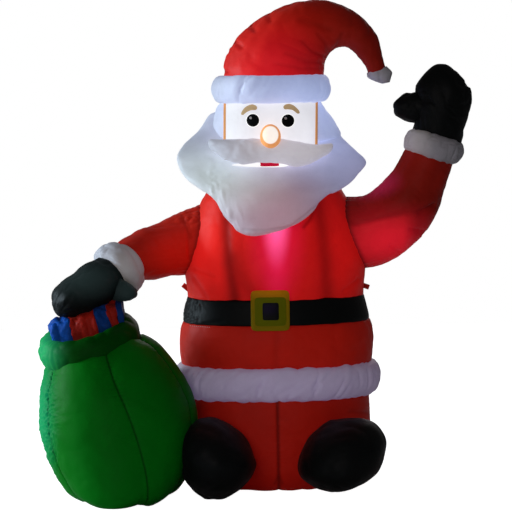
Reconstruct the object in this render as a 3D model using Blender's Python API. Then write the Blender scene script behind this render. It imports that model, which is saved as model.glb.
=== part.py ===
"""Lit inflatable yard figure in a red suit, waving, with one hand on a sack of parcels.

Metres, +Z up. The origin is on the ground at the axis of the body, the front faces -Y and +X is to the
right of someone who looks at the front. "Forward" below means towards -Y.

The free forms are shares of the figure's height, in thousandths. A form is a row of sections: each section
is an ellipse between two edge points seen from the front, with a forward place and a half depth.
"""
import math

import bmesh
import bpy
from mathutils import Matrix, Vector

# Sizes that can be set by themselves
FIGURE_HEIGHT = 1.80        # ground to the top of the hat
FIT_GAP = 0.0003            # air between two pieces that touch
BELT_WIDTH = 0.092
TRIM_WIDTH = 0.113          # fluffy hem of the coat
TRIM_PUFF = 0.036           # how far the hem stands out from the coat
HAT_BAND_WIDTH = 0.094
HAT_BAND_PUFF = 0.034
BUCKLE_WIDTH = 0.146
BUCKLE_HEIGHT = 0.146
BUCKLE_WINDOW = 0.058       # side of the dark square in its middle
BUCKLE_CORNER = 0.016
BUCKLE_THICKNESS = 0.008
BUCKLE_OFFSET = -0.018      # the buckle's middle from the body's axis
BUCKLE_RISE = 0.007         # the buckle's middle above the belt's
STRAP_WIDTH = 0.018         # tether loop, seen from the front
STRAP_THICKNESS = 0.002
LOOP_REACH = 0.022          # how far a tether loop stands out
LOOP_EYE = 0.006            # clear gap inside a tether loop
LOOP_SUNK = 0.030           # seam allowance of a tether loop, cut off at the coat
LOOP_RISE = 0.0304          # a tether loop's middle above the belt
NOSE_DIAMETER = 0.072
COLLAR_TUBE = 0.092         # rolled rim of the sack, measured through the roll

# Heights on the body, in thousandths of the figure's height
MIL = FIGURE_HEIGHT / 1000
NECK_HEIGHT = 648 * MIL
HAT_BAND_HEIGHT = 795 * MIL         # lower edge of the hat band
BELT_HEIGHT = 342 * MIL             # lower edge of the belt
TRIM_HEIGHT = 190 * MIL             # lower edge of the hem
LOOP_HEIGHT = BELT_HEIGHT + BELT_WIDTH + LOOP_RISE
FOOT_ROUND = 48 * MIL               # rounding of the body's lower edge

SIDES = 20

# Height, half width and half depth of the body, in thousandths
BODY = [
    (0, 186, 146), (67, 192, 150), (133, 192, 150), (200, 191, 146), (258, 195, 147), (306, 197, 148),
    (345, 192, 144), (373, 185, 139), (397, 182, 137), (450, 187, 140), (493, 183, 138), (544, 167, 129),
    (594, 149, 114), (622, 130, 103), (650, 96, 86),
]

# Sections: x and height of both edge points, forward place, half depth, in thousandths
HEAD = [
    (-84, 646, 84, 646, 6, 92), (-99, 678, 95, 678, 8, 108), (-102, 722, 94, 722, 8, 116),
    (-101, 767, 93, 767, 8, 117), (-97, 795, 92, 795, 6, 112),
]
HAT_BAND = (-102, 97, 6, 112)       # x of both edges, forward place and half depth of its seams
HAIR = [
    (-116, 701, 130, 701, -26, 98), (-123, 722, 141, 722, -26, 108), (-125, 750, 129, 750, -26, 110),
    (-118, 778, 109, 778, -26, 108), (-108, 794, 99, 794, -26, 104),
]
BEARD = [
    (-70, 526, -12, 527, 149, 34), (-83, 547, 42, 547, 151, 37), (-103, 572, 77, 572, 147, 39),
    (-119, 600, 101, 600, 138, 43), (-150, 622, 146, 622, 121, 50), (-180, 644, 179, 644, 94, 54),
    (-194, 667, 189, 667, 69, 54), (-197, 689, 177, 687, 50, 53), (-180, 713, 150, 711, 8, 46),
    (-151, 740, 133, 729, -20, 42), (-117, 786, 119, 745, -34, 38),
]
MOUSTACHE = [
    (-132, 723, -131, 706, 100, 14), (-103, 721, -100, 682, 120, 20), (-64, 722, -62, 671, 133, 24),
    (-22, 722, -25, 674, 138, 24), (17, 721, 14, 671, 138, 24), (53, 714, 50, 664, 133, 24),
    (86, 707, 83, 673, 121, 21), (123, 711, 119, 692, 100, 14),
]
HAT = [
    (-104, 830, 108, 830, 2, 112), (-99, 847, 107, 847, 2, 110), (-97, 874, 110, 870, 2, 104),
    (-78, 917, 113, 879, 2, 96), (-52, 945, 116, 885, 2, 87), (1, 979, 121, 891, 2, 75),
    (66, 1000, 129, 898, 2, 64), (130, 997, 140, 903, 2, 55), (183, 970, 153, 904, 2, 45),
    (214, 931, 169, 895, 2, 36), (228, 892, 188, 870, 2, 28), (236, 860, 198, 848, 2, 23),
]
HAT_TIP = [
    (196, 850, 237, 863, 2, 22), (198, 840, 248, 851, 2, 24), (213, 832, 246, 840, 2, 20),
    (227, 827, 243, 830, 2, 10),
]
NOSE_PLACE = (-5, 727, 144)     # x, height and forward place of the nose

WAVING_SLEEVE = [
    (139, 594, 150, 446, 0, 68), (184, 597, 217, 451, 2, 66), (214, 614, 278, 486, 5, 62),
    (239, 639, 326, 539, 8, 56), (257, 664, 350, 597, 10, 52), (272, 690, 367, 655, 11, 49),
    (281, 708, 374, 676, 12, 46),
]
WAVING_CUFF = [
    (271, 687, 367, 655, 11, 50), (273, 712, 393, 680, 12, 57), (289, 738, 385, 706, 12, 50),
]
WAVING_MITTEN = [
    (288, 716, 380, 686, 12, 36), (294, 752, 399, 738, 12, 41), (291, 785, 410, 778, 12, 43),
    (298, 824, 409, 818, 12, 41), (318, 864, 392, 858, 12, 30),
]
WAVING_THUMB = [
    (310, 810, 306, 742, 12, 28), (279, 806, 280, 748, 14, 27), (249, 798, 249, 758, 16, 22),
]

RESTING_SLEEVE = [
    (-125, 590, -160, 441, 0, 68), (-190, 570, -192, 440, 8, 66), (-236, 549, -226, 438, 30, 61),
    (-279, 536, -250, 434, 56, 56), (-318, 513, -274, 436, 84, 50), (-338, 498, -296, 430, 100, 46),
]
RESTING_CUFF = [
    (-326, 514, -279, 424, 86, 50), (-350, 506, -284, 413, 100, 57), (-369, 485, -305, 409, 114, 50),
]
RESTING_MITTEN = [
    (-350, 488, -302, 428, 106, 36), (-389, 472, -318, 407, 132, 45), (-424, 447, -345, 386, 152, 49),
    (-449, 419, -388, 368, 162, 48), (-459, 390, -424, 358, 168, 38),
]
RESTING_THUMB = [
    (-314, 446, -330, 400, 150, 24), (-293, 433, -305, 400, 158, 21), (-276, 424, -283, 405, 162, 16),
]

# Sections from the ground up
SACK = [
    (-404, 0, -238, 0, 196, 116), (-440, 20, -200, 22, 184, 140), (-470, 68, -168, 84, 174, 148),
    (-484, 136, -161, 158, 166, 150), (-482, 192, -173, 216, 160, 148), (-476, 239, -202, 267, 156, 138),
    (-462, 282, -237, 311, 154, 116), (-440, 304, -268, 330, 154, 92),
]
SACK_GORES = 6
GORE_TURNS = [(52,), (71.5,), (82.5,), (84,)]       # turn of the front seam in degrees, from the ground up
GORE_DEPTH = 7 * MIL
COLLAR_PLACE = (-378, 320, 154)     # x, height and forward place of the collar's middle
COLLAR_LEAN = math.radians(14)      # the right side of the picture is higher
COLLAR_TILT = math.radians(12)      # the front is lower
COLLAR_HALF_WIDTH = 105 * MIL
COLLAR_HALF_DEPTH = 98 * MIL

# Parcels: sections from the left to the right, each a blue or a red slice between two of them
PARCELS = [
    (-459, 352, -436, 286, 152, 34), (-446, 364, -426, 288, 152, 48), (-418, 372, -400, 291, 152, 53),
    (-390, 381, -372, 294, 152, 55), (-362, 390, -344, 300, 152, 55), (-335, 396, -318, 308, 152, 52),
    (-312, 398, -298, 316, 152, 44),
]
PARCEL_SLICES = [
    ("parcel_1", 0.0, 2.0, "blue_cloth"), ("parcel_1_ribbon", 2.0, 3.8, "red_cloth"),
    ("parcel_2", 3.8, 4.75, "blue_cloth"), ("parcel_2_ribbon", 4.75, 5.45, "red_cloth"),
    ("parcel_2_end", 5.45, 6.0, "blue_cloth"),
]

# Boots, sections from the sole up: the left one stands on the ground, the right one is lifted
LEFT_BOOT = [
    (-150, 0, -106, 0, 186, 24), (-182, 30, -66, 28, 188, 86), (-203, 72, -45, 62, 190, 104),
    (-208, 102, -50, 89, 190, 104), (-200, 136, -66, 119, 186, 88), (-167, 157, -92, 143, 182, 56),
    (-145, 163, -120, 159, 180, 24),
]
RIGHT_BOOT = [
    (102, 10, 140, 12, 186, 24), (68, 24, 180, 32, 188, 84), (42, 45, 205, 59, 190, 104),
    (42, 79, 217, 94, 190, 104), (60, 113, 214, 120, 186, 90), (84, 138, 194, 145, 182, 60),
    (104, 152, 170, 155, 180, 26),
]

COLOURS = {
    "red_cloth": (0.62, 0.02, 0.02, 1.0),
    "white_cloth": (0.62, 0.62, 0.72, 1.0),
    "black_cloth": (0.012, 0.014, 0.014, 1.0),
    "green_cloth": (0.005, 0.22, 0.04, 1.0),
    "blue_cloth": (0.01, 0.06, 0.40, 1.0),
    "yellow_cloth": (0.55, 0.42, 0.02, 1.0),
    "face_cloth": (0.90, 0.88, 0.86, 1.0),
    "nose_cloth": (0.90, 0.62, 0.40, 1.0),
}
CLOTH_ROUGHNESS = 0.42


def clear_scene():
    for thing in list(bpy.data.objects):
        bpy.data.objects.remove(thing, do_unlink=True)


def new_collection(name):
    collection = bpy.data.collections.new(name)
    bpy.context.scene.collection.children.link(collection)
    return collection


def cloth(slot):
    """Material of one slot, made the first time it is asked for."""
    material = bpy.data.materials.get(slot)
    if material is None:
        material = bpy.data.materials.new(slot)
        material.use_nodes = True
        shader = material.node_tree.nodes["Principled BSDF"]
        shader.inputs["Base Color"].default_value = COLOURS[slot]
        shader.inputs["Roughness"].default_value = CLOTH_ROUGHNESS
        shader.inputs["Metallic"].default_value = 0.0
        material.diffuse_color = COLOURS[slot]
    return material


def add_object(name, bm, slot):
    """Object of a finished bmesh, in triangles that its seats share, with outward faces and smooth shading."""
    bmesh.ops.triangulate(bm, faces=bm.faces)
    bm.normal_update()
    bmesh.ops.recalc_face_normals(bm, faces=bm.faces)
    mesh = bpy.data.meshes.new(name)
    bm.to_mesh(mesh)
    bm.free()
    mesh.materials.append(cloth(slot))
    mesh.shade_smooth()
    mesh.set_sharp_from_angle(angle=math.radians(40))
    piece = bpy.data.objects.new(name, mesh)
    parts.objects.link(piece)
    return piece


def between(keys, t):
    """Values of the keys at t, where whole numbers are keys: a smooth curve through all of them."""
    last = len(keys) - 1
    i = min(int(t), last - 1)
    u = t - i
    before, start, end, after = keys[max(i - 1, 0)], keys[i], keys[i + 1], keys[min(i + 2, last)]
    values = []
    for a, b, c, d in zip(before, start, end, after):
        leave = (c - a) / 2
        arrive = (d - b) / 2
        values.append(
            b + u * leave + u * u * (3 * (c - b) - 2 * leave - arrive)
            + u * u * u * (2 * (b - c) + leave + arrive)
        )
    return values


def section(keys, t, scale=1.0, square=False):
    """Centre, half width and half depth of a form at t, the last two as vectors.

    The half depth points forward, or square to the form's own path.
    """
    x1, z1, x2, z2, forward, depth = (value * MIL for value in between(keys, t))
    centre = Vector(((x1 + x2) / 2, -forward, (z1 + z2) / 2))
    across = Vector(((x2 - x1) / 2, 0, (z2 - z1) / 2))
    deep = Vector((0, -1, 0))
    if square:
        step = 0.05
        ahead = section(keys, min(t + step, len(keys) - 1))[0]
        behind = section(keys, max(t - step, 0))[0]
        deep = across.cross(ahead - behind).normalized()
    return centre, across * scale, deep * depth * scale


def skin(name, sections, slot, power=2.0, relief=None, sides=SIDES):
    """Closed solid over a row of sections, from a sphere whose rings are laid on them.

    The first and last sections are its poles. A power over 2 makes the sections squarer. The relief gives
    each angle round a section, at a share of the way along, a height above it.
    """
    rows = len(sections) - 1
    bm = bmesh.new()
    bmesh.ops.create_uvsphere(bm, u_segments=sides, v_segments=rows, radius=1.0)
    for vertex in bm.verts:
        row = round(math.acos(max(-1.0, min(1.0, -vertex.co.z))) * rows / math.pi)
        centre, across, depth = sections[row]
        angle = math.atan2(vertex.co.y, vertex.co.x)
        u = math.copysign(abs(math.cos(angle)) ** (2 / power), math.cos(angle))
        v = math.copysign(abs(math.sin(angle)) ** (2 / power), math.sin(angle))
        place = centre + across * u + depth * v
        if relief and row not in (0, rows):
            place += (place - centre).normalized() * relief(angle, row / rows)
        vertex.co = place
    return add_object(name, bm, slot)


def form(name, keys, slot, rings=8, start_round=0.0, end_round=0.0, start=0.0, end=None, power=2.0,
         square=False, relief=None, sides=SIDES):
    """Solid through the keys; a rounded end closes along a quarter circle, any other is flat.

    A rounding's length and the ends are counted in keys.
    """
    end = len(keys) - 1 if end is None else end
    arc_steps = 3
    rows = [(start, 0.0)]
    for step in range(1 if start_round else arc_steps, arc_steps):
        turn = math.pi / 2 * step / arc_steps
        rows.append((start + start_round * (1 - math.cos(turn)), math.sin(turn)))
    for ring in range(rings + 1):
        rows.append((start + start_round + (end - end_round - start - start_round) * ring / rings, 1.0))
    for step in range(arc_steps - 1, 0 if end_round else arc_steps, -1):
        turn = math.pi / 2 * step / arc_steps
        rows.append((end - end_round * (1 - math.cos(turn)), math.sin(turn)))
    rows.append((end, 0.0))
    return skin(name, [section(keys, t, scale, square) for t, scale in rows], slot, power, relief, sides)


def body_section(height, grow):
    """Section of the body at a height, grown outwards by a distance."""
    mils = height / MIL
    i = 0
    while i < len(BODY) - 2 and BODY[i + 1][0] < mils:
        i += 1
    t = i + (mils - BODY[i][0]) / (BODY[i + 1][0] - BODY[i][0])
    width, depth = (value * MIL + grow for value in between(BODY, t)[1:])
    return Vector((0, 0, height)), Vector((width, 0, 0)), Vector((0, -depth, 0))


def flat_pole(height):
    return Vector((0, 0, height)), Vector((0, 0, 0)), Vector((0, 0, 0))


def body_slice(name, low, high, puff, slot, rings=4, foot_round=0.0):
    """Ring of the body between two heights, fuller in its middle; it can be rounded at the foot."""
    sections = [flat_pole(low)]
    arc_steps = 3
    if foot_round:
        for step in range(arc_steps):
            turn = math.pi / 2 * step / arc_steps
            sections.append(body_section(low + foot_round * (1 - math.cos(turn)),
                                         -foot_round * (1 - math.sin(turn))))
    for ring in range(rings + 1):
        share = ring / rings
        height = low + foot_round + (high - low - foot_round) * share
        sections.append(body_section(height, puff * math.sqrt(math.sin(math.pi * share))))
    sections.append(flat_pole(high))
    return skin(name, sections, slot, power=2.2)


def seat(piece, *neighbours):
    """Cut the neighbours' full forms out of the piece, with the fit gap all round."""
    for neighbour in neighbours:
        cutter = bpy.data.objects.new("seat_of_" + piece.name + "_on_" + neighbour.name, neighbour.data)
        cutter.hide_render = True
        cutter.display_type = "WIRE"
        cutters.objects.link(cutter)
        offset = cutter.modifiers.new("fit gap", "DISPLACE")
        offset.mid_level = 0.0
        offset.strength = FIT_GAP
        cut = piece.modifiers.new("seat on " + neighbour.name, "BOOLEAN")
        cut.operation = "DIFFERENCE"
        cut.object = cutter


def to_cutters(piece):
    """Keep the piece as a tool for others only."""
    parts.objects.unlink(piece)
    cutters.objects.link(piece)
    piece.hide_render = True
    piece.display_type = "WIRE"


def join(piece, added):
    """Make the added piece one body with the piece."""
    to_cutters(added)
    union = piece.modifiers.new("join " + added.name, "BOOLEAN")
    union.operation = "UNION"
    union.object = added


def make_body():
    """Trousers, hem, skirt, belt and jacket, one on the other."""
    trim_top = TRIM_HEIGHT + TRIM_WIDTH
    belt_top = BELT_HEIGHT + BELT_WIDTH
    body_slice("trousers", 0.0, TRIM_HEIGHT - FIT_GAP, 0.0, "red_cloth", rings=3, foot_round=FOOT_ROUND)
    body_slice("hem_trim", TRIM_HEIGHT, trim_top, TRIM_PUFF, "white_cloth", rings=6)
    body_slice("coat_skirt", trim_top + FIT_GAP, BELT_HEIGHT - FIT_GAP, 4 * MIL, "red_cloth", rings=4)
    body_slice("belt", BELT_HEIGHT, belt_top, 3 * MIL, "black_cloth", rings=3)
    body_slice("jacket", belt_top + FIT_GAP, NECK_HEIGHT, 0.0, "red_cloth", rings=8)


def buckle_plate(name, width, height, corner, back, front, slot):
    """Upright plate over the belt's middle, facing forward, with rounded corners."""
    bm = bmesh.new()
    bmesh.ops.create_cube(bm, size=1.0)
    middle = BELT_HEIGHT + BELT_WIDTH / 2 + BUCKLE_RISE
    for vertex in bm.verts:
        vertex.co.x = vertex.co.x * width + BUCKLE_OFFSET
        vertex.co.y = vertex.co.y * (front - back) - (front + back) / 2
        vertex.co.z = vertex.co.z * height + middle
    if corner:
        upright = [edge for edge in bm.edges if abs(edge.verts[0].co.y - edge.verts[1].co.y) > 1e-6]
        bmesh.ops.bevel(bm, geom=upright, offset=corner, segments=4, profile=0.5, affect="EDGES", material=-1)
    return add_object(name, bm, slot)


def make_buckle():
    """Square frame with a dark square in its window, both seated on the belt and the cloth beside it."""
    middle = BELT_HEIGHT + BELT_WIDTH / 2 + BUCKLE_RISE
    fullest = max(body_section(middle + side * BUCKLE_HEIGHT / 2, 4 * MIL)[2].length for side in (-1, 0, 1))
    front = fullest + BUCKLE_THICKNESS
    back = body_section(BELT_HEIGHT, 0.0)[2].length * 0.8
    frame = buckle_plate("buckle", BUCKLE_WIDTH, BUCKLE_HEIGHT, BUCKLE_CORNER, back, front, "yellow_cloth")
    centre = buckle_plate("buckle_centre", BUCKLE_WINDOW, BUCKLE_WINDOW, 0.0, back,
                           front - BUCKLE_THICKNESS / 4, "black_cloth")
    body = [bpy.data.objects[name] for name in ("belt", "coat_skirt", "jacket")]
    seat(centre, *body)
    window = buckle_plate("window", BUCKLE_WINDOW + 2 * FIT_GAP, BUCKLE_WINDOW + 2 * FIT_GAP, 0.0,
                           back - BUCKLE_THICKNESS, front + BUCKLE_THICKNESS, "black_cloth")
    to_cutters(window)
    hole = frame.modifiers.new("window", "BOOLEAN")
    hole.operation = "DIFFERENCE"
    hole.object = window
    seat(frame, *body)


def make_tether_loop(name, side, lean):
    """Folded strap that stands out at the waist, with an eye for a line."""
    body_edge = body_section(LOOP_HEIGHT, 0.0)[1].x
    outer = LOOP_EYE / 2 + STRAP_THICKNESS
    outline = bpy.data.curves.new(name, "CURVE")
    outline.dimensions = "2D"
    outline.fill_mode = "BOTH"
    outline.extrude = STRAP_WIDTH / 2
    for radius in (outer, LOOP_EYE / 2):
        far = LOOP_REACH - outer
        near = -LOOP_SUNK if radius == outer else -LOOP_SUNK + STRAP_THICKNESS
        points = [(near, -radius), (near, radius)]
        for step in range(7):
            turn = math.pi / 2 - math.pi * step / 6
            points.append((far + radius * math.cos(turn), radius * math.sin(turn)))
        spline = outline.splines.new("POLY")
        spline.points.add(len(points) - 1)
        spline.use_cyclic_u = True
        for point, (x, y) in zip(spline.points, points):
            point.co = (x, y, 0, 1)
    drawn = bpy.data.objects.new(name + "_outline", outline)
    parts.objects.link(drawn)
    bpy.context.view_layer.update()
    solid = bpy.data.meshes.new_from_object(drawn.evaluated_get(bpy.context.evaluated_depsgraph_get()))
    bpy.data.objects.remove(drawn, do_unlink=True)
    bm = bmesh.new()
    bm.from_mesh(solid)
    bmesh.ops.remove_doubles(bm, verts=bm.verts, dist=0.00001)
    lean_turn = Matrix.Rotation(-lean, 4, "Y")
    face_out = Matrix.Rotation(0.0 if side > 0 else math.pi, 4, "Z")
    bm.transform(Matrix.Translation((side * body_edge, 0, LOOP_HEIGHT)) @ lean_turn @ face_out)
    loop = add_object(name, bm, "red_cloth")
    seat(loop, bpy.data.objects["jacket"], bpy.data.objects["belt"])


def make_head():
    jacket = bpy.data.objects["jacket"]
    head = form("head", HEAD, "face_cloth", rings=5, power=2.5)
    band_sections = [flat_pole(HAT_BAND_HEIGHT)]
    for ring in range(7):
        share = ring / 6
        left, right, forward, depth = (value * MIL for value in HAT_BAND)
        grow = HAT_BAND_PUFF * math.sqrt(math.sin(math.pi * share)) + 4 * MIL
        centre = Vector(((left + right) / 2, -forward, HAT_BAND_HEIGHT + HAT_BAND_WIDTH * share))
        across = Vector(((right - left) / 2 + grow, 0, 0))
        band_sections.append((centre, across, Vector((0, -depth - grow, 0))))
    band_sections.append(flat_pole(HAT_BAND_HEIGHT + HAT_BAND_WIDTH))
    band = skin("hat_band", band_sections, "white_cloth")
    hat = form("hat", HAT, "red_cloth", rings=11)
    tip = form("hat_tip", HAT_TIP, "white_cloth", rings=3, sides=12)
    hair = form("hair", HAIR, "white_cloth", rings=4, start_round=0.8)
    nose_x, nose_height, nose_forward = (value * MIL for value in NOSE_PLACE)
    bm = bmesh.new()
    bmesh.ops.create_uvsphere(bm, u_segments=14, v_segments=8, radius=NOSE_DIAMETER / 2)
    bmesh.ops.translate(bm, verts=bm.verts, vec=(nose_x, -nose_forward, nose_height))
    nose = add_object("nose", bm, "nose_cloth")
    moustache = form("moustache", MOUSTACHE, "white_cloth", rings=7, sides=14, start_round=0.4, end_round=0.4)
    beard = form("beard", BEARD, "white_cloth", rings=8, sides=18, start_round=0.8, end_round=0.5)
    seat(head, jacket, band)
    seat(hat, band)
    seat(tip, hat)
    seat(hair, head, band)
    seat(nose, head)
    seat(moustache, head, nose)
    seat(beard, head, hair, moustache, jacket)


def make_waving_arm():
    sleeve = form("waving_sleeve", WAVING_SLEEVE, "red_cloth", rings=8)
    cuff = form("waving_cuff", WAVING_CUFF, "white_cloth", rings=3, start_round=0.5, end_round=0.5, sides=16)
    mitten = form("waving_mitten", WAVING_MITTEN, "black_cloth", rings=5, end_round=1.2, sides=16)
    thumb = form("waving_thumb", WAVING_THUMB, "black_cloth", rings=2, end_round=0.9, sides=10)
    join(mitten, thumb)
    seat(sleeve, bpy.data.objects["jacket"])
    seat(mitten, sleeve)
    seat(cuff, sleeve, mitten)


def make_resting_arm():
    sleeve = form("resting_sleeve", RESTING_SLEEVE, "red_cloth", rings=7, square=True)
    cuff = form("resting_cuff", RESTING_CUFF, "white_cloth", rings=3, start_round=0.5, end_round=0.5,
                square=True, sides=16)
    mitten = form("resting_mitten", RESTING_MITTEN, "black_cloth", rings=5, end_round=1.2, square=True, sides=16)
    thumb = form("resting_thumb", RESTING_THUMB, "black_cloth", rings=2, end_round=0.9, sides=10)
    join(mitten, thumb)
    seat(sleeve, bpy.data.objects["jacket"])
    seat(mitten, sleeve)
    seat(cuff, sleeve, mitten)


def make_boots():
    trousers = bpy.data.objects["trousers"]
    for name, keys in (("left_boot", LEFT_BOOT), ("right_boot", RIGHT_BOOT)):
        boot = form(name, keys, "black_cloth", rings=7)
        seat(boot, trousers)


def make_sack():
    """Sack of six gores that turn as they rise, its rolled collar and the parcels in the mouth."""
    def gores(angle, share):
        seam = math.radians(between(GORE_TURNS, share * (len(GORE_TURNS) - 1))[0])
        return GORE_DEPTH * (abs(math.sin((angle - seam) * SACK_GORES / 2)) - 1)
    sack = form("sack", SACK, "green_cloth", rings=8, sides=24, relief=gores)
    x, height, forward = (value * MIL for value in COLLAR_PLACE)
    bpy.ops.mesh.primitive_torus_add(major_segments=SIDES, minor_segments=8, major_radius=1.0, minor_radius=0.5)
    ring = bpy.context.object
    bm = bmesh.new()
    bm.from_mesh(ring.data)
    bpy.data.objects.remove(ring, do_unlink=True)
    tube = COLLAR_TUBE / 2
    for vertex in bm.verts:
        angle = math.atan2(vertex.co.y, vertex.co.x)
        outward = (math.hypot(vertex.co.x, vertex.co.y) - 1.0) / 0.5
        upward = vertex.co.z / 0.5
        vertex.co = Vector((
            (COLLAR_HALF_WIDTH - tube + outward * tube) * math.cos(angle),
            (COLLAR_HALF_DEPTH - tube + outward * tube) * math.sin(angle),
            upward * tube * 1.1,
        ))
    bm.transform(Matrix.Translation((x, -forward, height)) @ Matrix.Rotation(COLLAR_TILT, 4, "X")
                 @ Matrix.Rotation(-COLLAR_LEAN, 4, "Y"))
    collar = add_object("sack_collar", bm, "green_cloth")
    seat(sack, collar, bpy.data.objects["left_boot"], bpy.data.objects["trousers"],
         bpy.data.objects["hem_trim"])
    hand = (bpy.data.objects["resting_mitten"], bpy.data.objects["resting_thumb"])
    slices = []
    for name, start, end, slot in PARCEL_SLICES:
        gap = FIT_GAP / (28 * MIL)      # the fit gap, counted in keys
        piece = form(name, PARCELS, slot, rings=2, start=start + gap, end=end - gap, power=3.0,
                     sides=12)
        slices.append(piece)
    for piece in slices:
        seat(piece, collar, sack, *hand)


clear_scene()
parts = new_collection("inflatable_santa")
cutters = new_collection("cutters")
make_body()
make_buckle()
make_tether_loop("left_tether_loop", -1, math.radians(-40))
make_tether_loop("right_tether_loop", 1, math.radians(-20))
make_head()
make_waving_arm()
make_resting_arm()
make_boots()
make_sack()
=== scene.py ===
"""Looks of a lit yard inflatable: a figure in a red suit that waves, with one hand on a sack of parcels.

Every piece is a cell of thin coated polyester held out by air. A form is a row of sections, in thousandths
of the figure's height: each section is an ellipse between two edge points seen from the front, with a
forward place and a half depth. Forward means towards -Y, and left and right are those of the picture.
"""
import math
from collections import namedtuple

import bmesh
import bpy
from mathutils import Matrix, Vector, noise
from mathutils.bvhtree import BVHTree


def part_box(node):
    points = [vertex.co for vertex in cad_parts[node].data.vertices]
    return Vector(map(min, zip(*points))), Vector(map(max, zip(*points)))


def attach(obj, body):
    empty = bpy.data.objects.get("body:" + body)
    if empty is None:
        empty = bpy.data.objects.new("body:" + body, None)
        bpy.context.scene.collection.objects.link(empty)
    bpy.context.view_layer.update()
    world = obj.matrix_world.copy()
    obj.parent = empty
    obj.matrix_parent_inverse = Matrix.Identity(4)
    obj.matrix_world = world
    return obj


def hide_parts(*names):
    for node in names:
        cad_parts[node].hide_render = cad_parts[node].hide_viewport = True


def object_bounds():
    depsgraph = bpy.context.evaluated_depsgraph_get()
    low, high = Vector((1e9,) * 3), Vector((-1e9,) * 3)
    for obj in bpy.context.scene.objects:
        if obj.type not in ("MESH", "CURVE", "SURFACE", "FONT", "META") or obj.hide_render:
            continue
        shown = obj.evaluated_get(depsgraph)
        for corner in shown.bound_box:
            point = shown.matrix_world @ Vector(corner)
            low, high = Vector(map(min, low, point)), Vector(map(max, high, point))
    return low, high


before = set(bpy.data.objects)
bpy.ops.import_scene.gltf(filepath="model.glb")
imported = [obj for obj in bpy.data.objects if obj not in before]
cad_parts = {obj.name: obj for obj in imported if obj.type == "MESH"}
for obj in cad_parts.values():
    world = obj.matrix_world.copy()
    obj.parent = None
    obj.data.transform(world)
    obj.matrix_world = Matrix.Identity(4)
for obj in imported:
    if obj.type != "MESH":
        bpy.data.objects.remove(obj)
cad_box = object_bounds()

# Sizes that follow the frame
MIL = (cad_box[1].z - cad_box[0].z) / 1000      # a thousandth of the figure's height
BODY_LEVELS = {name: (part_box(name)[0].z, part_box(name)[1].z)
               for name in ("trousers", "hem_trim", "coat_skirt", "belt", "jacket")}
BAND_LOW, BAND_HIGH = (corner.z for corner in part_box("hat_band"))

TRIM_PUFF = 0.034
HAT_BAND_PUFF = 0.029
FOOT_ROUND = 48 * MIL
BODY_SQUARE = 2.2           # power of the body's rounded sections

# Height, half width and half depth of the body
BODY = [
    (0, 186, 146), (67, 192, 150), (133, 192, 150), (200, 191, 146), (258, 195, 147), (306, 197, 148),
    (345, 192, 144), (373, 185, 139), (397, 182, 137), (450, 187, 140), (493, 183, 138), (544, 167, 129),
    (594, 149, 114), (622, 130, 103), (650, 96, 86),
]

# Sections: x and height of both edge points, forward place, half depth
HEAD = [
    (-84, 646, 84, 646, 6, 92), (-99, 678, 95, 678, 8, 108), (-102, 722, 94, 722, 8, 116),
    (-101, 767, 93, 767, 8, 117), (-97, 795, 92, 795, 6, 112),
]
HAT_BAND = (-102, 97, 6, 112)       # x of both edges, forward place and half depth of its seams
HAIR = [
    (-116, 701, 130, 701, -26, 98), (-123, 722, 141, 722, -26, 108), (-125, 750, 129, 750, -26, 110),
    (-118, 778, 109, 778, -26, 108), (-108, 794, 99, 794, -26, 104),
]
BEARD = [
    (-70, 526, -12, 527, 149, 34), (-83, 547, 42, 547, 151, 37), (-103, 572, 77, 572, 147, 39),
    (-119, 600, 101, 600, 138, 43), (-150, 622, 146, 622, 121, 50), (-180, 644, 172, 645, 94, 54),
    (-194, 667, 190, 669, 69, 54), (-197, 689, 171, 690, 50, 53), (-180, 713, 150, 711, 8, 46),
    (-151, 740, 133, 729, -20, 42), (-117, 786, 119, 745, -34, 38),
]
MOUSTACHE = [
    (-132, 723, -131, 706, 100, 14), (-103, 721, -100, 682, 120, 20), (-64, 722, -62, 671, 133, 24),
    (-22, 722, -25, 674, 138, 24), (17, 721, 14, 671, 138, 24), (53, 714, 50, 664, 133, 24),
    (86, 707, 83, 673, 121, 21), (123, 711, 119, 692, 100, 14),
]
HAT = [
    (-104, 830, 108, 830, 2, 112), (-99, 847, 107, 847, 2, 110), (-97, 874, 110, 870, 2, 104),
    (-78, 917, 113, 879, 2, 96), (-52, 945, 116, 885, 2, 87), (1, 979, 121, 891, 2, 75),
    (66, 1000, 129, 898, 2, 64), (130, 997, 140, 903, 2, 55), (183, 970, 153, 904, 2, 45),
    (214, 931, 169, 895, 2, 36), (228, 892, 188, 870, 2, 28), (236, 860, 198, 848, 2, 23),
]
HAT_TIP = [
    (196, 850, 237, 863, 2, 22), (198, 840, 248, 851, 2, 24), (213, 832, 246, 840, 2, 20),
    (227, 827, 243, 830, 2, 10),
]
WAVING_SLEEVE = [
    (139, 594, 150, 446, 0, 68), (184, 597, 217, 451, 2, 66), (214, 614, 278, 486, 5, 62),
    (239, 639, 326, 539, 8, 56), (257, 664, 350, 597, 10, 52), (272, 690, 367, 655, 11, 49),
    (281, 708, 374, 676, 12, 46),
]
WAVING_CUFF = [
    (271, 687, 367, 655, 11, 50), (273, 712, 393, 680, 12, 57), (289, 738, 385, 706, 12, 50),
]
WAVING_MITTEN = [
    (288, 716, 380, 686, 12, 36), (294, 752, 399, 738, 12, 41), (291, 785, 410, 778, 12, 43),
    (298, 824, 409, 818, 12, 41), (318, 868, 386, 862, 12, 30),
]
WAVING_THUMB = [
    (310, 810, 306, 742, 12, 28), (279, 806, 280, 748, 14, 27), (249, 798, 249, 758, 16, 22),
]
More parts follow.
